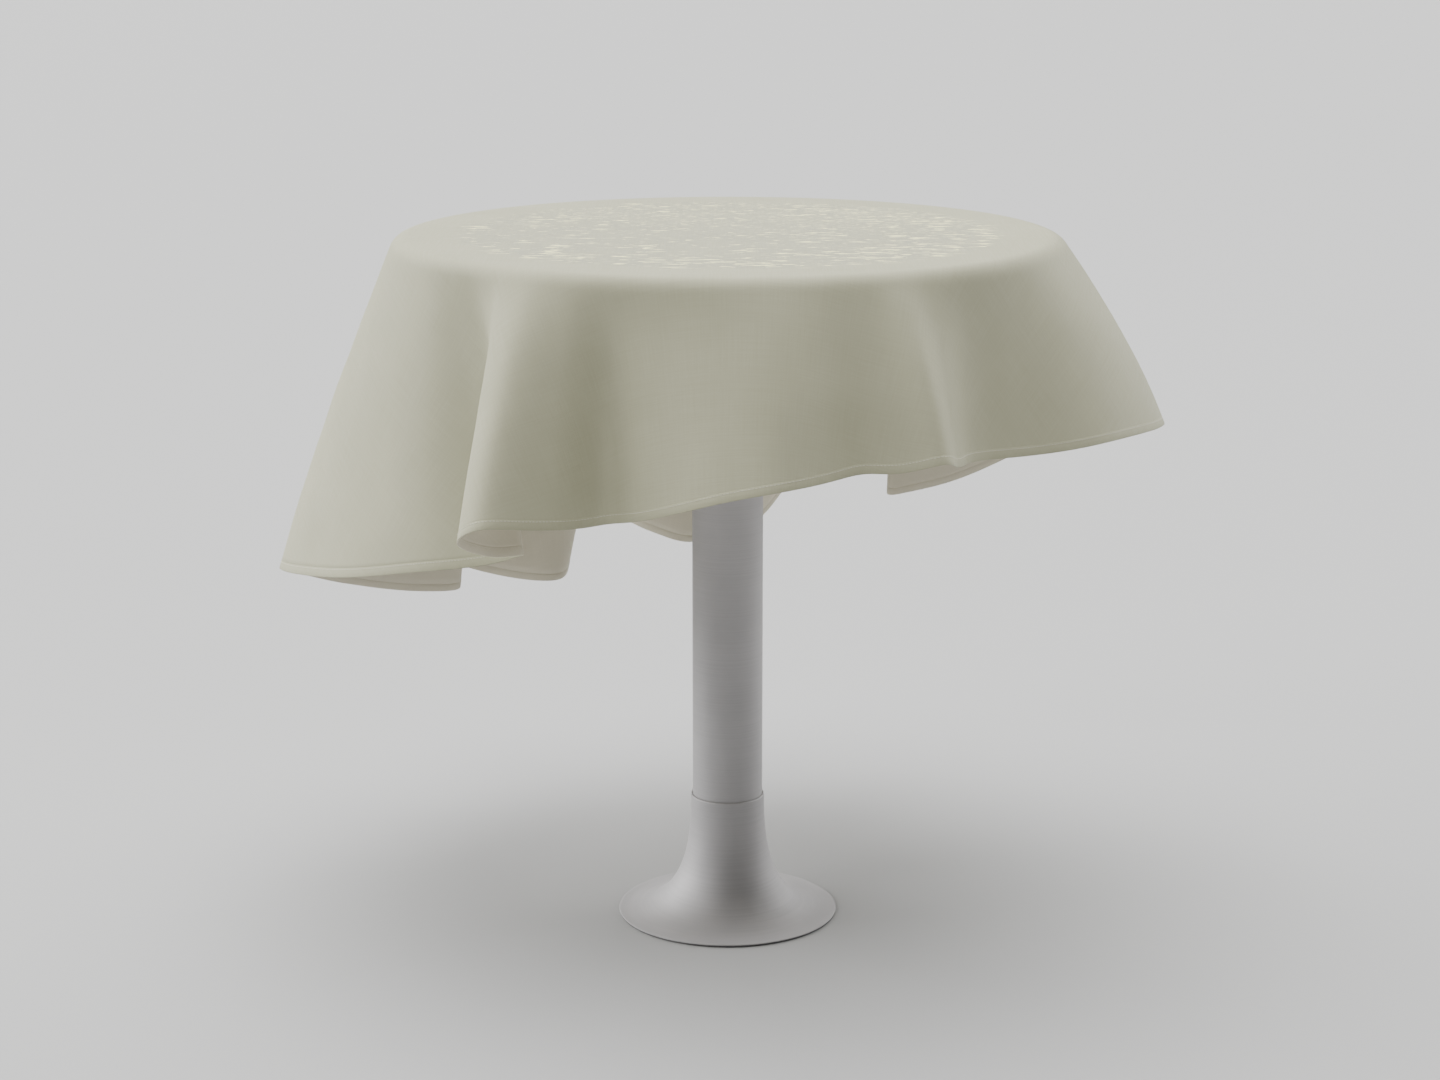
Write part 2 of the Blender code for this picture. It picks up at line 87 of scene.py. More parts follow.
# lines of the skirt, once round: angle at the rim, angle at the hem (degrees, front is -90),
# how far the hem stands out as a share of the length, and length as a share of the overhang
folds = (
    (4, 6, 0.48, 1.00),  # right-hand crest
    (-12, -13, 0.48, 1.00),
    (-25, -28, 0.40, 1.00),
    (-38, -41, 0.19, 1.00),  # broad hollow, front right
    (-48, -51, 0.15, 0.995),
    (-57, -58, 0.33, 1.00),
    (-63, -63, 0.50, 1.005),  # narrow crest
    (-68, -68, 0.38, 0.985),
    (-73, -73, 0.33, 0.955),  # crease beside it
    (-82, -82, 0.45, 0.995),  # low crest at the front
    (-91, -91, 0.38, 0.985),
    (-101, -101, 0.22, 0.98),
    (-109, -108, 0.13, 0.955),  # deep hollow, front left
    (-116, -113, 0.31, 0.94),
    (-122, -119, 0.46, 0.94),  # crest of the lapped fold
    (-127, -124, 0.39, 0.95),
    (-131, -124, 0.22, 0.95),
    (-136, -122, 0.08, 0.94),  # its tucked layer
    (-141, -128, 0.08, 0.94),
    (-148, -139, 0.18, 0.93),
    (-158, -153, 0.25, 0.93),
    (-170, -169, 0.31, 0.93),
    (-182, -185, 0.36, 0.95),
    (-194, -197, 0.37, 0.98),  # wide left-hand lobe
    (-204, -208, 0.34, 1.013),
    (-214, -218, 0.28, 1.02),
    (-221, -226, 0.25, 1.02),
    (-226, -228, 0.31, 1.015),
    (-230, -226, 0.38, 1.00),
    (-235, -228, 0.41, 1.02),  # first lapped fold at the back
    (-241, -234, 0.34, 1.045),
    (-246, -240, 0.23, 1.03),
    (-251, -244, 0.22, 1.03),
    (-255, -246, 0.30, 1.02),
    (-258, -245, 0.41, 1.00),
    (-262, -249, 0.47, 1.00),  # second lapped fold at the back
    (-266, -254, 0.43, 1.045),
    (-270, -259, 0.32, 1.05),
    (-274, -265, 0.26, 1.06),  # hollow behind the column
    (-280, -274, 0.34, 1.07),
    (-286, -280, 0.47, 1.01),
    (-291, -286, 0.53, 1.00),
    (-296, -292, 0.49, 1.00),  # third lapped fold at the back
    (-300, -296, 0.39, 1.02),
    (-303, -295, 0.29, 1.06),
    (-308, -299, 0.25, 1.07),
    (-314, -308, 0.29, 1.05),
    (-320, -317, 0.45, 1.02),
    (-326, -324, 0.58, 1.00),  # crest, back right
    (-332, -331, 0.54, 1.00),
    (-338, -336, 0.37, 1.00),
    (-347, -344, 0.35, 1.00),
)


# cloth

def overhang(angle):
    # how much cloth lies beyond the rim in one direction
    s = clothSettings
    out = Vector((cos(angle), sin(angle), 0.0))
    across = s["shift"].x * out.y - s["shift"].y * out.x
    return s["shift"].dot(out) + sqrt((s["diameter"] / 2) ** 2 - across ** 2) - topRadius


def foldRow(index):
    # a row of the folds, which carry on past both ends of the list
    turns, row = divmod(index, len(folds))
    rim, hem, flare, ease = folds[row]
    return rim - 360 * turns, hem - 360 * turns, flare, ease


def foldBetween(position):
    # a smooth curve through the rows
    index = int(position)
    t = position - index
    mixed = []
    for a, b, c, d in zip(*(foldRow(index + k) for k in (-1, 0, 1, 2))):
        cubic = (3 * b - a - 3 * c + d) * t ** 3 + (2 * a - 5 * b + 4 * c - d) * t ** 2
        mixed.append((cubic + (c - a) * t + 2 * b) / 2)
    return mixed


def skirtLine(position):
    # rim corner, hem point, outward direction, length, rim angle and bow of one line
    s = clothSettings
    rim, hem, flare, ease = foldBetween(position % len(folds))
    rim, hem = radians(rim), radians(hem)
    radius = topRadius + s["stand"]
    level = topLevel + s["lift"]
    corner = Vector((radius * cos(rim), radius * sin(rim), level))
    length = overhang(rim) * ease - s["rollSaves"] * s["roll"]
    reach = radius + flare * length
    end = Vector((reach * cos(hem), reach * sin(hem), level))
    end.z -= sqrt(length ** 2 - (end - corner).length ** 2)
    middle = (rim + hem) / 2
    bow = (s["bow"] + s["crestBow"] * (flare - s["evenFlare"])) * length
    return corner, end, Vector((cos(middle), sin(middle), 0.0)), length, rim, bow


def skirtPoint(line, share):
    # a point of the hanging cloth, a share of the way from the rim to the hem
    s = clothSettings
    corner, end, outward, length, rim, bow = line
    start = corner + (end - corner).normalized() * s["roll"]
    point = start.lerp(end, share) + outward * bow * 4 * share * (1 - share)
    spot = point / s["rippleSize"]
    wave = noise.noise(spot) + s["fineShare"] * noise.noise(spot * s["fineRipple"])
    return point + outward * s["ripple"] * wave * min(1.0, share * s["rippleRise"])


def hemDistance(line, distance):
    # share along a line that lies a distance above its hem
    return 1 - distance / (line[3] - clothSettings["roll"])


def lineOfCloth(position):
    # points from the middle of the top to the hem, each with its place on the flat cloth
    s = clothSettings
    line = skirtLine(position)
    corner, end, outward, length, rim, bow = line
    ray = Vector((cos(rim), sin(rim), 0.0))
    level = Vector((0.0, 0.0, corner.z))
    flatRadius = topRadius + s["stand"] - s["roll"]
    points = []
    for k in range(1, s["topRings"] + 1):
        share = (k / s["topRings"]) ** s["topCrowding"]
        points.append((level + ray * flatRadius * share, flatRadius * share))
    start = skirtPoint(line, 0.0)
    inner = corner - ray * s["roll"]
    taken = s["roll"] * s["rollTakes"]
    for k in range(1, s["rollRings"]):
        share = k / s["rollRings"]
        point = inner.lerp(corner, share).lerp(corner.lerp(start, share), share)
        points.append((point, flatRadius + share * taken))
    last = hemDistance(line, hemSettings["width"] - hemSettings["lap"])
    for k in range(s["skirtRings"] + 1):
        share = k / s["skirtRings"] * last
        distance = flatRadius + taken + share * (length - s["roll"])
        points.append((skirtPoint(line, share), distance))
    return points, ray


def unselectAll():
    bpy.ops.object.select_all(action="DESELECT")


def onlyActive(obj):
    unselectAll()
    obj.select_set(True)
    bpy.context.view_layer.objects.active = obj


def finishMesh(name, vertices, faces, flat=None):
    # a new object from points and faces, its normals outwards, its flat places kept as a UV map
    mesh = bpy.data.meshes.new(name)
    mesh.from_pydata(vertices, [], faces)
    obj = bpy.data.objects.new(name, mesh)
    bpy.context.scene.collection.objects.link(obj)
    if flat:
        layer = mesh.uv_layers.new(name="flatCloth")
        for loop in mesh.loops:
            layer.data[loop.index].uv = flat[loop.vertex_index]
    onlyActive(obj)
    bpy.ops.object.mode_set(mode="EDIT")
    bpy.ops.mesh.select_all(action="SELECT")
    bpy.ops.mesh.normals_make_consistent(inside=False)
    bpy.ops.object.mode_set(mode="OBJECT")
    bpy.ops.object.shade_smooth()
    return obj


def addWall(obj, thickness, offset, slotOfInner=0):
    wall = obj.modifiers.new("Wall", "SOLIDIFY")
    wall.thickness = thickness
    wall.offset = offset
    wall.use_even_offset = True
    wall.material_offset = slotOfInner
    onlyActive(obj)
    bpy.ops.object.modifier_apply(modifier="Wall")


smoothAngle = 35            # degrees; sharper edges are rounded, or stay sharp


def roundEdges(obj, width, angle=smoothAngle):
    edge = obj.modifiers.new("Edges", "BEVEL")
    edge.width = width
    edge.segments = 2
    edge.limit_method = "ANGLE"
    edge.angle_limit = radians(angle)
    onlyActive(obj)
    bpy.ops.object.modifier_apply(modifier="Edges")
    bpy.ops.object.shade_smooth_by_angle(angle=radians(angle))


def makeCloth():
    s = clothSettings
    count = len(folds) * s["columnsPerRow"]
    lines = [lineOfCloth(k / s["columnsPerRow"]) for k in range(count)]
    rings = len(lines[0][0])
    vertices = [Vector((0.0, 0.0, topLevel + s["lift"]))]
    flat = [Vector((0.0, 0.0))]
    for points, ray in lines:
        for point, distance in points:
            vertices.append(point)
            flat.append(Vector((ray.x, ray.y)) * distance)
    faces = []
    for k in range(count):
        here = 1 + k * rings
        before = 1 + (k - 1) % count * rings
        faces.append((0, here, before))
        for r in range(rings - 1):
            faces.append((before + r, here + r, here + r + 1, before + r + 1))
    cloth = finishMesh("tableclothSheet", vertices, faces, flat)
    cloth.data.materials.append(clothRightSide)
    # the inner wall takes the wrong side, whose paler colour is partly painted light for the shaded
    # inside
    cloth.data.materials.append(clothWrongSideWithPaintedLight)
    addWall(cloth, s["thickness"], 1.0, slotOfInner=1)
    return cloth


def surfaceFrame(position, distance):
    # point of the cloth a distance above its hem, with the directions along it and out of it
    besides, above = 0.02, 0.004
    here, before, after = (skirtLine(position + k * besides) for k in (0, -1, 1))
    point = skirtPoint(here, hemDistance(here, distance))
    along = skirtPoint(after, hemDistance(after, distance))
    along = (along - skirtPoint(before, hemDistance(before, distance))).normalized()
    down = (point - skirtPoint(here, hemDistance(here, distance + above))).normalized()
    return point, along, along.cross(down).normalized()


def makeHem():
    # the turned edge: a flattened loop of cloth, followed once round
    s = hemSettings
    count = len(folds) * clothSettings["columnsPerRow"]
    middle = clothSettings["thickness"] / 2
    half = s["thickness"] / 2
    section = []
    # the roll at the edge, from its outer to its inner side, then the end at the top back again
    for centre, start in ((half, 90), (s["width"] - half, -90)):
        for k in range(5):
            turn = radians(start - 45 * k)
            section.append((centre - cos(turn) * half, sin(turn) * half))
    vertices, flat, faces = [], [], []
    for k in range(count):
        position = k / clothSettings["columnsPerRow"]
        line = skirtLine(position)
        out = surfaceFrame(position, s["width"] / 2)[2]
        ray = Vector((cos(line[4]), sin(line[4])))
        for distance, proud in section:
            edge = skirtPoint(line, hemDistance(line, distance))
            vertices.append(edge + out * (middle + proud))
            flat.append(ray * (topRadius + line[3] - distance + proud))
    size = len(section)
    for k in range(count):
        for r in range(size):
            here, before = k * size, (k - 1) % count * size
            faces.append((before + r, here + r, here + (r + 1) % size, before + (r + 1) % size))
    hem = finishMesh("tableclothHem", vertices, faces, flat)
    hem.data.materials.append(clothHemFinish)
    # the hem's inner side takes the wrong side too, painted paler as painted light for the shade
    # there
    hem.data.materials.append(clothWrongSideWithPaintedLight)
    for face in hem.data.polygons:
        # the middle of the section is its inner side
        face.material_index = 1 if 2 <= face.index % size <= 6 else 0
    return hem


def makeStitches():
    # a lockstitch seen on both sides of the hem
    s = hemSettings
    sides = s["threadSides"]
    steps = len(folds) * s["framesPerRow"]
    ring = [surfaceFrame(k / s["framesPerRow"], s["stitchAt"]) for k in range(steps)]
    reach = [0.0]
    for k in range(steps):
        reach.append(reach[-1] + (ring[(k + 1) % steps][0] - ring[k][0]).length)
    number = int(reach[-1] / s["stitchPitch"])
    middle = clothSettings["thickness"] / 2
    vertices, faces = [], []
    k = 0
    for n in range(number):
        centre = reach[-1] * n / number
        while reach[k + 1] < centre:
            k += 1
        share = (centre - reach[k]) / (reach[k + 1] - reach[k])
        point = ring[k][0].lerp(ring[(k + 1) % steps][0], share)
        along, out = ring[k][1:]
        across = along.cross(out)
        for side in (1, -1):
            first = len(vertices)
            for at, size in s["threadSwell"]:
                # sunk a little into the cloth, deeper at its ends
                lift = middle + side * (s["thickness"] / 2 + s["thread"] * (0.7 * size - 0.3))
                core = point + along * at * s["stitchLength"] + out * lift
                for turn in range(sides):
                    angle = radians(360 / sides * turn)
                    ringPoint = across * cos(angle) + out * sin(angle)
                    vertices.append(core + ringPoint * s["thread"] * size)
            for r in range(len(s["threadSwell"]) - 1):
                for turn in range(sides):
                    a, b = first + r * sides + turn, first + r * sides + (turn + 1) % sides
                    faces.append((a, b, b + sides, a + sides))
            faces.append(tuple(range(first, first + sides)))
            faces.append(tuple(range(len(vertices) - 1, len(vertices) - 1 - sides, -1)))
    stitches = finishMesh("hemStitching", vertices, faces)
    stitches.data.materials.append(spotted["creamThread"])
    return stitches


# finishes

def newFinish(name, colour, roughness, metallic=0.0):
    made = bpy.data.materials.new(name)
    made.use_nodes = True
    shader = made.node_tree.nodes["Principled BSDF"]
    shader.inputs["Base Color"].default_value = (*colour, 1)
    shader.inputs["Roughness"].default_value = roughness
    shader.inputs["Metallic"].default_value = metallic
    return made, shader


def addNode(made, kind, values=(), **options):
    # a node with its options, and inputs that are numbers, colours or outputs of other nodes
    node = made.node_tree.nodes.new(kind)
    for key, value in options.items():
        setattr(node, key, value)
    for key, value in dict(values).items():
        if isinstance(value, bpy.types.NodeSocket):
            made.node_tree.links.new(value, node.inputs[key])
        else:
            node.inputs[key].default_value = value
    return node


def stretched(made, coordinate, scale):
    return addNode(made, "ShaderNodeMapping", {"Vector": coordinate, "Scale": scale}).outputs[0]


def noiseOf(made, vector, scale, detail=2.0, roughness=0.5):
    values = {"Vector": vector, "Scale": scale, "Detail": detail, "Roughness": roughness}
    return addNode(made, "ShaderNodeTexNoise", values).outputs[0]


def ranged(made, value, low, high, newLow, newHigh, smooth=False):
    kind = "SMOOTHSTEP" if smooth else "LINEAR"
    values = {0: value, 1: low, 2: high, 3: newLow, 4: newHigh}
    return addNode(made, "ShaderNodeMapRange", values, interpolation_type=kind).outputs[0]


def combined(made, operation, first, second):
    return addNode(made, "ShaderNodeMath", {0: first, 1: second}, operation=operation).outputs[0]


def mixedColour(made, factor, first, second):
    node = addNode(made, "ShaderNodeMix", {0: factor}, data_type="RGBA")
    for key, value in ((6, first), (7, second)):
        if isinstance(value, bpy.types.NodeSocket):
            made.node_tree.links.new(value, node.inputs[key])
        else:
            node.inputs[key].default_value = (*value, 1)
    return node.outputs[2]


def bumped(made, shader, height, strength, distance):
    values = {"Height": height, "Strength": strength, "Distance": distance}
    bump = addNode(made, "ShaderNodeBump", values)
    made.node_tree.links.new(bump.outputs[0], shader.inputs["Normal"])


weaveSettings = dict(
    right=(0.372, 0.365, 0.252),
    rightShade=(0.338, 0.333, 0.227),
    # the wrong side is painted much paler and warmer than the right side: partly its own paler
    # back, partly painted light that lifts the shaded inside of the skirt
    wrong=(0.64, 0.60, 0.47),
    wrongShade=(0.595, 0.555, 0.43),
    hem=(0.369, 0.362, 0.249),
    hemShade=(0.333, 0.328, 0.222),
    roughness=0.62,
    gloss=0.28,
    sheen=0.03,
    yarns=330.0,            # waves across the flat cloth, about a yarn a millimetre
    slub=(620, 16, 1),      # unevenness of a yarn, across it and along it
    relief=0.35,
    reliefDepth=0.0004,
)

zoneSettings = dict(
    radius=0.283,
    stray=0.05,             # how far its edge wanders
    fade=(0.015, 0.035),    # where its edge fades out, outside the radius
    grey=(0.300, 0.300, 0.222),
    grain=(95, 150, 1),
    fleck=(0.93, 0.90, 0.47),
    # length and width of the dashes, how broken they are, size and share of their patches,
    # the range that shows, and how pale they are
    longDashes=dict(size=(32, 130, 1), broken=0.60, patches=15.0, share=0.22,
                    shows=(0.735, 0.765), pale=1.0),
    shortDashes=dict(size=(95, 250, 1), broken=0.65, patches=24.0, share=0.20,
                     shows=(0.72, 0.80), pale=0.55),
    # from, to, and how much denser there
    moreInFront=(-0.05, -0.25, 0.045),
    moreAtRight=(-0.02, 0.22, 0.030),
    moreBehind=(-0.06, 0.10, 0.06),
)


def wovenFinish(name, light, shade, zone=False):
    # plain weave with uneven yarns, drawn on the flat cloth
    s = weaveSettings
    made, shader = newFinish(name, light, s["roughness"])
    shader.inputs["Sheen Weight"].default_value = s["sheen"]
    shader.inputs["Sheen Roughness"].default_value = 0.45
    shader.inputs["Specular IOR Level"].default_value = s["gloss"]
    flat = addNode(made, "ShaderNodeUVMap", uv_map="flatCloth").outputs[0]
    across, along, depth = s["slub"]
    warp = noiseOf(made, stretched(made, flat, (across, along, depth)), 1.0)
    weft = noiseOf(made, stretched(made, flat, (along, across, depth)), 1.0)
    yarn = combined(made, "ADD", warp, weft)
    cloudy = noiseOf(made, flat, 9.0, 3.0, 0.55)
    tone = combined(made, "ADD", combined(made, "MULTIPLY", yarn, 0.55), cloudy)
    colour = mixedColour(made, ranged(made, tone, 0.75, 1.35, 0, 1), light, shade)
    height = yarn
    for direction in ("X", "Y"):
        values = {"Vector": flat, "Scale": s["yarns"], "Distortion": 0.4, "Detail": 1.0}
        wave = addNode(made, "ShaderNodeTexWave", values, bands_direction=direction).outputs[1]
        height = combined(made, "ADD", height, combined(made, "MULTIPLY", wave, 0.5))
    bumped(made, shader, height, s["relief"], s["reliefDepth"])
    roughness = ranged(made, yarn, 0.7, 1.3, s["roughness"] - 0.06, s["roughness"] + 0.08)
    made.node_tree.links.new(roughness, shader.inputs["Roughness"])
    if zone:
        colour = topZone(made, flat, colour)
    made.node_tree.links.new(colour, shader.inputs["Base Color"])
    return made


def topZone(made, flat, colour):
    # the middle of the cloth: grey mottling, long pale dashes in front and short ones behind
    s = zoneSettings
    away = addNode(made, "ShaderNodeVectorMath", {0: flat}, operation="LENGTH").outputs["Value"]
    ragged = combined(made, "MULTIPLY", noiseOf(made, flat, 40.0, 3.0, 0.6), s["stray"])
    edge = combined(made, "ADD", away, ragged)
    inside = ranged(made, edge, s["radius"] + s["fade"][0], s["radius"] + s["fade"][1], 1, 0, True)
    grain = noiseOf(made, stretched(made, flat, s["grain"]), 1.0, 3.0, 0.7)
    patches = noiseOf(made, flat, 14.0, 2.0)
    grey = combined(made, "MULTIPLY", ranged(made, grain, 0.40, 0.58, 0, 1),
                    ranged(made, patches, 0.38, 0.58, 0.45, 1.0))
    colour = mixedColour(made, combined(made, "MULTIPLY", grey, inside), colour, s["grey"])
    split = addNode(made, "ShaderNodeSeparateXYZ", {0: flat})
    x, y = split.outputs[0], split.outputs[1]
    front = more(made, y, s["moreInFront"])
    right = more(made, x, s["moreAtRight"])
    behind = more(made, y, s["moreBehind"])
    longOnes = dashesOf(made, flat, s["longDashes"], combined(made, "ADD", front, right))
    shortOnes = dashesOf(made, flat, s["shortDashes"], combined(made, "ADD", behind, right))
    fleck = combined(made, "MULTIPLY", combined(made, "MAXIMUM", longOnes, shortOnes), inside)
    return mixedColour(made, fleck, colour, s["fleck"])


def more(made, place, gain):
    start, end, most = gain
    return ranged(made, place, start, end, 0.0, most)


def dashesOf(made, flat, settings, extra):
    # dashes across the cloth, which crowd together in patches and where there is extra
    d = settings
    dashes = noiseOf(made, stretched(made, flat, d["size"]), 1.0, 3.0, d["broken"])
    patches = combined(made, "MULTIPLY", noiseOf(made, flat, d["patches"], 2.0), d["share"])
    total = combined(made, "ADD", dashes, combined(made, "ADD", extra, patches))
    return ranged(made, total, *d["shows"], 0, d["pale"])


def spottedFinish(name, light, dark, scale, roughness, spread, bump, metallic=0.0):
    # two tones in fine patches with uneven gloss, for cast, moulded and pressed surfaces
    made, shader = newFinish(name, light, roughness, metallic)
    place = addNode(made, "ShaderNodeTexCoord").outputs["Object"]
    fine = noiseOf(made, place, scale, 4.0, 0.6)
    made.node_tree.links.new(mixedColour(made, ranged(made, fine, 0.35, 0.65, 0, 1), light, dark),
                             shader.inputs["Base Color"])
    gloss = ranged(made, noiseOf(made, place, scale / 5, 3.0), 0.3, 0.7,
                   roughness - spread, roughness + spread)
    made.node_tree.links.new(gloss, shader.inputs["Roughness"])
    bumped(made, shader, fine, bump, 0.0003)
    return made


def brushedFinish(name, light, dark, roughness, metallic, lines):
    # satin metal, polished round its axis with so many lines to the metre
    made, shader = newFinish(name, light, roughness, metallic)
    place = addNode(made, "ShaderNodeTexCoord").outputs["Object"]
    fine = noiseOf(made, stretched(made, place, (6, 6, lines)), 1.0, 3.0, 0.6)
    broad = noiseOf(made, place, 14.0, 3.0)
    tone = combined(made, "ADD", combined(made, "MULTIPLY", fine, 0.5),
                    combined(made, "MULTIPLY", broad, 0.5))
    made.node_tree.links.new(mixedColour(made, ranged(made, tone, 0.4, 0.6, 0, 1), light, dark),
                             shader.inputs["Base Color"])
    gloss = ranged(made, tone, 0.35, 0.65, roughness - 0.04, roughness + 0.04)
    made.node_tree.links.new(gloss, shader.inputs["Roughness"])
    bumped(made, shader, fine, 0.02, 0.0002)
    return made


def grainedFinish(name, light, dark, roughness):
    # bent beech: rings of grain that run round the table
    made, shader = newFinish(name, light, roughness)
    place = addNode(made, "ShaderNodeTexCoord").outputs["Object"]
    grain = noiseOf(made, stretched(made, place, (9, 9, 420)), 1.0, 4.0, 0.6)
    flecks = noiseOf(made, stretched(made, place, (90, 90, 900)), 1.0, 2.0)
    tone = combined(made, "ADD", combined(made, "MULTIPLY", grain, 0.7),
                    combined(made, "MULTIPLY", flecks, 0.3))
    made.node_tree.links.new(mixedColour(made, ranged(made, tone, 0.38, 0.62, 0, 1), light, dark),
                             shader.inputs["Base Color"])
    bumped(made, shader, grain, 0.15, 0.0003)
    return made


clothRightSide = wovenFinish("clothRightSide", weaveSettings["right"],
                             weaveSettings["rightShade"], zone=True)
# wrong side: its paler, warmer colour is partly painted light for the shaded inside of the skirt
clothWrongSideWithPaintedLight = wovenFinish("clothWrongSideWithPaintedLight", weaveSettings["wrong"],
                             weaveSettings["wrongShade"])
clothHemFinish = wovenFinish("clothHem", weaveSettings["hem"], weaveSettings["hemShade"])
satinSteel = brushedFinish("satinSteel", light=(0.43, 0.42, 0.424), dark=(0.40, 0.391, 0.395),
                           roughness=0.62, metallic=0.42, lines=700.0)
beechBand = grainedFinish("beechBand", light=(0.58, 0.41, 0.25), dark=(0.42, 0.27, 0.15),
                          roughness=0.42)

# scale is how fine the patches are, spread how uneven the gloss is
spottedSettings = dict(
    creamThread=dict(light=(0.66, 0.64, 0.53), dark=(0.56, 0.54, 0.44),
                     scale=900.0, roughness=0.55, spread=0.08, bump=0.3),
    blackCasting=dict(light=(0.035, 0.035, 0.037), dark=(0.020, 0.020, 0.022),
                      scale=420.0, roughness=0.55, spread=0.10, bump=0.5, metallic=0.3),
    zincPlate=dict(light=(0.60, 0.60, 0.57), dark=(0.47, 0.48, 0.47),
                   scale=260.0, roughness=0.36, spread=0.10, bump=0.15, metallic=1.0),
    chipboard=dict(light=(0.56, 0.42, 0.26), dark=(0.36, 0.25, 0.14),
                   scale=330.0, roughness=0.85, spread=0.05, bump=0.6),
    paleLaminate=dict(light=(0.78, 0.77, 0.71), dark=(0.72, 0.71, 0.65),
                      scale=160.0, roughness=0.34, spread=0.05, bump=0.08),
    backingSheet=dict(light=(0.50, 0.48, 0.45), dark=(0.43, 0.41, 0.38),
                      scale=240.0, roughness=0.62, spread=0.08, bump=0.25),
    paleNylon=dict(light=(0.74, 0.74, 0.71), dark=(0.66, 0.66, 0.63),
                   scale=300.0, roughness=0.48, spread=0.06, bump=0.1),
    greyRubber=dict(light=(0.15, 0.15, 0.148), dark=(0.11, 0.11, 0.108),
                    scale=380.0, roughness=0.80, spread=0.08, bump=0.35),
)
spotted = {name: spottedFinish(name, **values) for name, values in spottedSettings.items()}
print("finishes made")


def place(piece, body, slot, *nodes):
    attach(piece, body)
    if nodes:
        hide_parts(*nodes)


cloth = makeCloth()
hem = makeHem()
stitches = makeStitches()
place(cloth, "cloth", "cloth_weave", "tablecloth")
place(hem, "cloth", "cloth_hem", "hem_band")
place(stitches, "cloth", "cloth_hem")
print("cloth, hem and stitches made")


# turned metalwork, band and top

def turnedPiece(name, profile, finish, sides, closed=True):
    # a ring drawn up along a profile of (radius, height), as on a lathe
    radius, height = profile[0]
    unselectAll()
    bpy.ops.mesh.primitive_circle_add(vertices=sides, radius=radius, location=(0, 0, height))
    obj = bpy.context.active_object
    obj.name = name
    bpy.ops.object.mode_set(mode="EDIT")
    bpy.ops.mesh.select_all(action="SELECT")
    for nextRadius, nextHeight in (*profile[1:], *(profile[:1] if closed else ())):
        rise = {"value": (0, 0, nextHeight - height)}
        bpy.ops.mesh.extrude_edges_move(TRANSFORM_OT_translate=rise)
        growth = nextRadius / radius
        bpy.ops.transform.resize(value=(growth, growth, 1), center_override=(0, 0, nextHeight))
        radius, height = nextRadius, nextHeight
    bpy.ops.mesh.select_all(action="SELECT")
    bpy.ops.mesh.remove_doubles(threshold=0.00002)
    bpy.ops.mesh.normals_make_consistent(inside=False)
    bpy.ops.object.mode_set(mode="OBJECT")
    bpy.ops.object.transform_apply(location=True, rotation=True, scale=True)
    bpy.ops.object.shade_smooth_by_angle(angle=radians(smoothAngle))
    obj.data.materials.append(finish)
    return obj


roundSides = dict(tube=128, top=160)


def outerRadius(node):
    # radius, bottom and top of a round node
    low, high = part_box(node)
    return (high.x - low.x) / 2, low.z, high.z


def squareRing(node, name, finish, settings):
    # a plain ring or tube, as wide outside as its node
    radius, bottom, top = outerRadius(node)
    inner = radius - settings["width"]
    profile = ((radius, bottom), (radius, top), (inner, top), (inner, bottom))
    ring = turnedPiece(name, profile, finish, roundSides["tube"])
    roundEdges(ring, settings["edge"])
    return ring


columnSettings = dict(width=0.002, edge=0.0004)
gasketSettings = dict(width=0.008, edge=0.0004)

bellSettings = dict(
    wall=0.001,
    lip=0.0018,             # radius of the rolled lip
    neck=0.0403,            # outside of the neck
    power=2.6,              # squareness of the curve
    overrun=0.005,          # how far outside the trimmed rim the curve would end
    lipSteps=8,
    rings=44,
    edge=0.00035,
)


def makeBell():
    s = bellSettings
    rim, bottom, top = outerRadius("bell_cover")
    neckLevel = top - s["lip"]
    rimLevel = bottom + s["wall"]
    outline = []
    for k in range(s["lipSteps"] + 1):
        angle = radians(90 - 90 * k / s["lipSteps"])
        outline.append((s["neck"] - s["lip"] * (1 - cos(angle)), neckLevel + s["lip"] * sin(angle)))
    spread = rim + s["overrun"] - s["neck"]
    full = (1 - (s["overrun"] / spread) ** s["power"]) ** (1 / s["power"])
    for k in range(1, s["rings"] + 1):
        across = (1 - cos(radians(90 * k / s["rings"]))) * (rim - s["neck"])
        down = (1 - (1 - across / spread) ** s["power"]) ** (1 / s["power"])
        outline.append((s["neck"] + across, neckLevel - (neckLevel - rimLevel) * down / full))
    bell = turnedPiece("bellCover", outline, satinSteel, roundSides["tube"], closed=False)
    face = bell.data.polygons[len(bell.data.polygons) // 2]
    if face.normal.dot(face.center) < 0:
        bell.data.flip_normals()
    addWall(bell, s["wall"], -1.0)
    roundEdges(bell, s["edge"], angle=60)
    return bell


bandSettings = dict(width=0.016, rounding=0.011, steps=8, edge=0.0005)


def makeBand():
    s = bandSettings
    radius, bottom, top = outerRadius("edge_band")
    profile = [(radius - s["width"], top), (radius - s["width"], bottom)]
    for corner, start in ((bottom + s["rounding"], -90), (top - s["rounding"], 0)):
        for k in range(s["steps"] + 1):
            angle = radians(start + 90 * k / s["steps"])
            reach = radius - s["rounding"] * (1 - cos(angle))
            profile.append((reach, corner + s["rounding"] * sin(angle)))
    band = turnedPiece("edgeBand", profile, beechBand, roundSides["top"])
    roundEdges(band, s["edge"], angle=50)
    return band


laminateSettings = dict(middle=0.00001, edge=0.0002)  # middle is the hole left at the axis


def makeLaminate():
    s = laminateSettings
    radius, bottom, top = outerRadius("top_laminate")
    profile = ((s["middle"], bottom), (radius, bottom), (radius, top), (s["middle"], top))
    laminate = turnedPiece("topLaminate", profile, spotted["paleLaminate"], roundSides["top"],
                           closed=False)
    roundEdges(laminate, s["edge"])
    return laminate


copySettings = dict(merge=0.00001, flat=0.5)  # flat is the bend, in degrees, still taken as flat


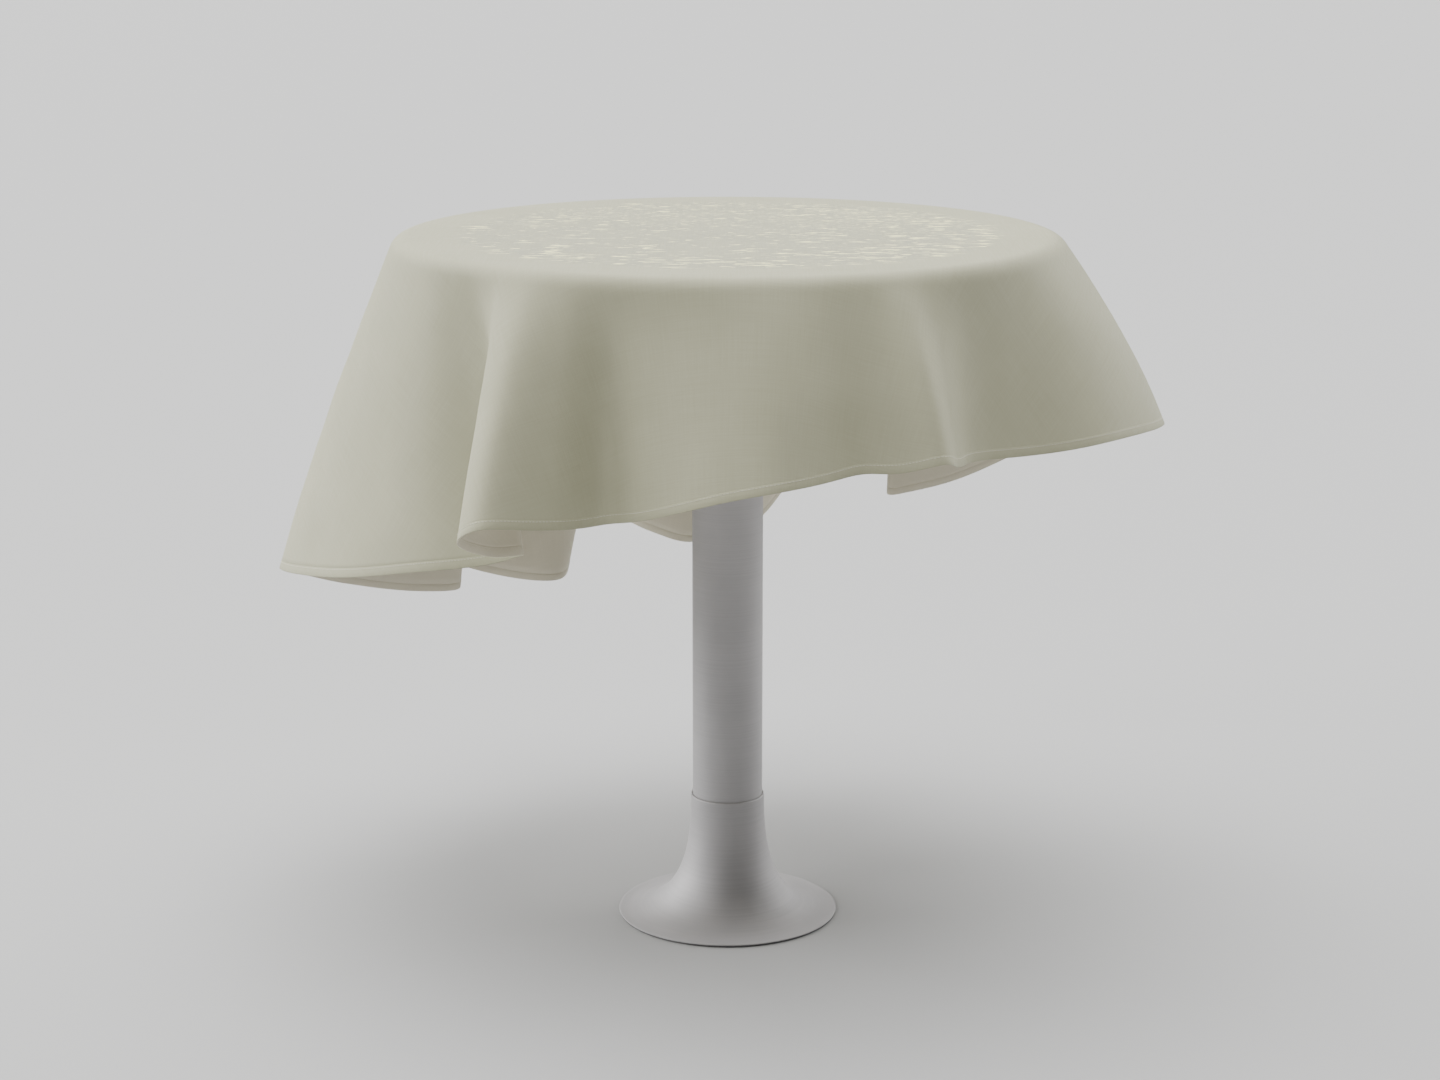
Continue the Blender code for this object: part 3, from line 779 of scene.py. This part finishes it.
def refinedCopy(node, name, finish, edge):
    # a copy of a frame solid with its points merged and its edges rounded
    unselectAll()
    obj = bpy.data.objects.new(name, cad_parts[node].data.copy())
    bpy.context.scene.collection.objects.link(obj)
    onlyActive(obj)
    bpy.ops.object.mode_set(mode="EDIT")
    bpy.ops.mesh.select_all(action="SELECT")
    bpy.ops.mesh.remove_doubles(threshold=copySettings["merge"])
    bpy.ops.mesh.dissolve_limited(angle_limit=radians(copySettings["flat"]))
    bpy.ops.object.mode_set(mode="OBJECT")
    obj.data.materials.clear()
    obj.data.materials.append(finish)
    roundEdges(obj, edge)
    return obj


column = squareRing("column_tube", "columnTube", satinSteel, columnSettings)
gasket = squareRing("rim_gasket", "rimGasket", spotted["greyRubber"], gasketSettings)
place(column, "table", "satin_steel", "column_tube")
place(makeBell(), "cover", "satin_steel", "bell_cover")
place(gasket, "cover", "grey_rubber", "rim_gasket")
place(makeBand(), "table", "beech_band", "edge_band")
place(makeLaminate(), "table", "pale_laminate", "top_laminate")
print("column, bell, gasket, band and laminate made")

# node, name, finish, slot and rounding of each casting and fixing
refined = [
    ("spider", "spiderCasting", "blackCasting", "black_casting", 0.0009),
    ("floor_flange", "floorFlange", "blackCasting", "black_casting", 0.0009),
    ("spider_nut", "spiderNut", "zincPlate", "zinc_plate", 0.0005),
    ("spider_washer", "spiderWasher", "zincPlate", "zinc_plate", 0.0004),
]
for k in range(1, 9):
    refined.append((f"spider_screw_{k}", f"spiderScrew{k}", "zincPlate", "zinc_plate", 0.0003))
for node, name, finish, slot, edge in refined:
    place(refinedCopy(node, name, spotted[finish], edge), "table", slot, node)
print("castings and fixings made")

# pieces whose frame mesh is right as it is
for node, finish in (("tie_rod", "zincPlate"), ("neck_liner", "paleNylon"),
                     ("tabletop_core", "chipboard"), ("backing_laminate", "backingSheet")):
    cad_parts[node].data.materials.clear()
    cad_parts[node].data.materials.append(spotted[finish])


# floor, light and camera

studioSettings = dict(
    floorColour=(0.395, 0.395, 0.393),
    floorRoughness=0.9,
    floorRadius=45,
    fill=0.03,              # light from all round
    backdrop=1.06,          # brightness past the floor
    # name, direction to the light, strength and softness in degrees
    lights=(
        ("lampLeft", (-0.90, 0.30, 0.36), 5.0, 55),
        ("lampRight", (0.80, 0.50, 0.36), 2.6, 60),
        ("lampBack", (-0.20, 0.80, 0.90), 2.8, 70),
        ("lampAbove", (0.0, -0.04, 1.0), 4.0, 62),
        ("lampFront", (-0.75, -0.45, 0.50), 0.7, 25),
    ),
)

bpy.ops.mesh.primitive_circle_add(vertices=128, radius=studioSettings["floorRadius"],
                                  fill_type="NGON", location=(0, 0, 0))
floor = bpy.context.active_object
floor.name = "studioFloor"
paper = newFinish("studioPaper", studioSettings["floorColour"], studioSettings["floorRoughness"])[0]
floor.data.materials.append(paper)

world = bpy.data.worlds.new("studio")
bpy.context.scene.world = world
world.use_nodes = True
# a little light from all round, and a pale backdrop past the edge of the floor
background = world.node_tree.nodes["Background"]
background.inputs[0].default_value = (1, 1, 1, 1)
rays = world.node_tree.nodes.new("ShaderNodeLightPath")
strength = addNode(world, "ShaderNodeMapRange", {0: rays.outputs["Is Camera Ray"],
                                                 3: studioSettings["fill"],
                                                 4: studioSettings["backdrop"]})
world.node_tree.links.new(strength.outputs[0], background.inputs[1])

for name, direction, strength, softness in studioSettings["lights"]:
    bpy.ops.object.light_add(type="SUN", location=Vector(direction) * 3)
    lamp = bpy.context.active_object
    lamp.name = name
    lamp.data.energy = strength
    lamp.data.angle = radians(softness)
    lamp.rotation_mode = "QUATERNION"
    lamp.rotation_quaternion = Vector(direction).to_track_quat("Z", "Y")

cameraSettings = dict(
    place=(0.0, -2.933, 1.1135),
    down=13.31,             # degrees below level
    left=0.161,
    lens=70,
    sensor=36,
    far=200,
)

camera = bpy.data.objects.new("camera", bpy.data.cameras.new("camera"))
bpy.context.scene.collection.objects.link(camera)
camera.location = cameraSettings["place"]
camera.rotation_euler = (radians(90 - cameraSettings["down"]), 0.0, radians(cameraSettings["left"]))
camera.data.lens = cameraSettings["lens"]
camera.data.sensor_width = cameraSettings["sensor"]
camera.data.clip_end = cameraSettings["far"]
bpy.context.scene.camera = camera
print("studio set")
